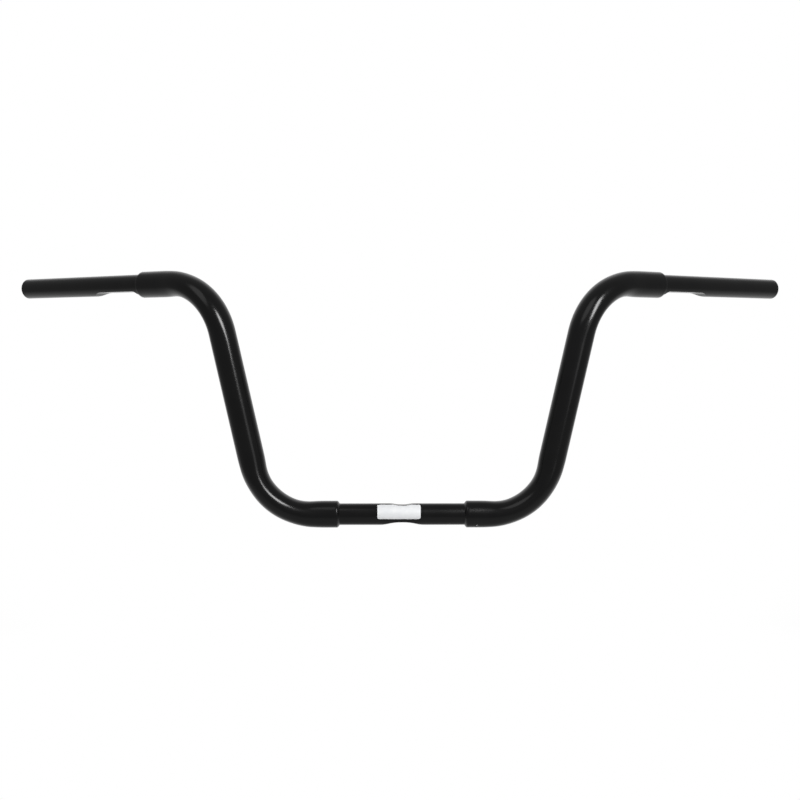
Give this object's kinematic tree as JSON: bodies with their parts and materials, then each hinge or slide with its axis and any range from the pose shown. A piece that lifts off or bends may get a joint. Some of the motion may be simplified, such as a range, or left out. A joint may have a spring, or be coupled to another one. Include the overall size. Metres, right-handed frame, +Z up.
{
  "type": "ape hanger handlebar",
  "caption": "High-rise motorcycle handlebar of fat bent riser tubes with slimmer centre and grip tubes welded in, dimpled for inner wiring, in black.",
  "frame": {"origin": "middle of the centre tube, on its axis, between the two fork clamps", "axes": "+X along the centre tube towards the right grip, +Y back towards the rider, +Z up"},
  "size_m": [1.002, 0.1957, 0.3046],
  "materials": {
    "black_coat": "satin black coat on steel",
    "label_foil": "pale silver film, blank"
  },
  "bodies": {
    "root": {"centre_tube": "black_coat", "right_riser_tube": "black_coat", "left_riser_tube": "black_coat", "right_grip_tube": "black_coat", "left_grip_tube": "black_coat", "blank_label": "label_foil"}
  },
  "joints": []
}
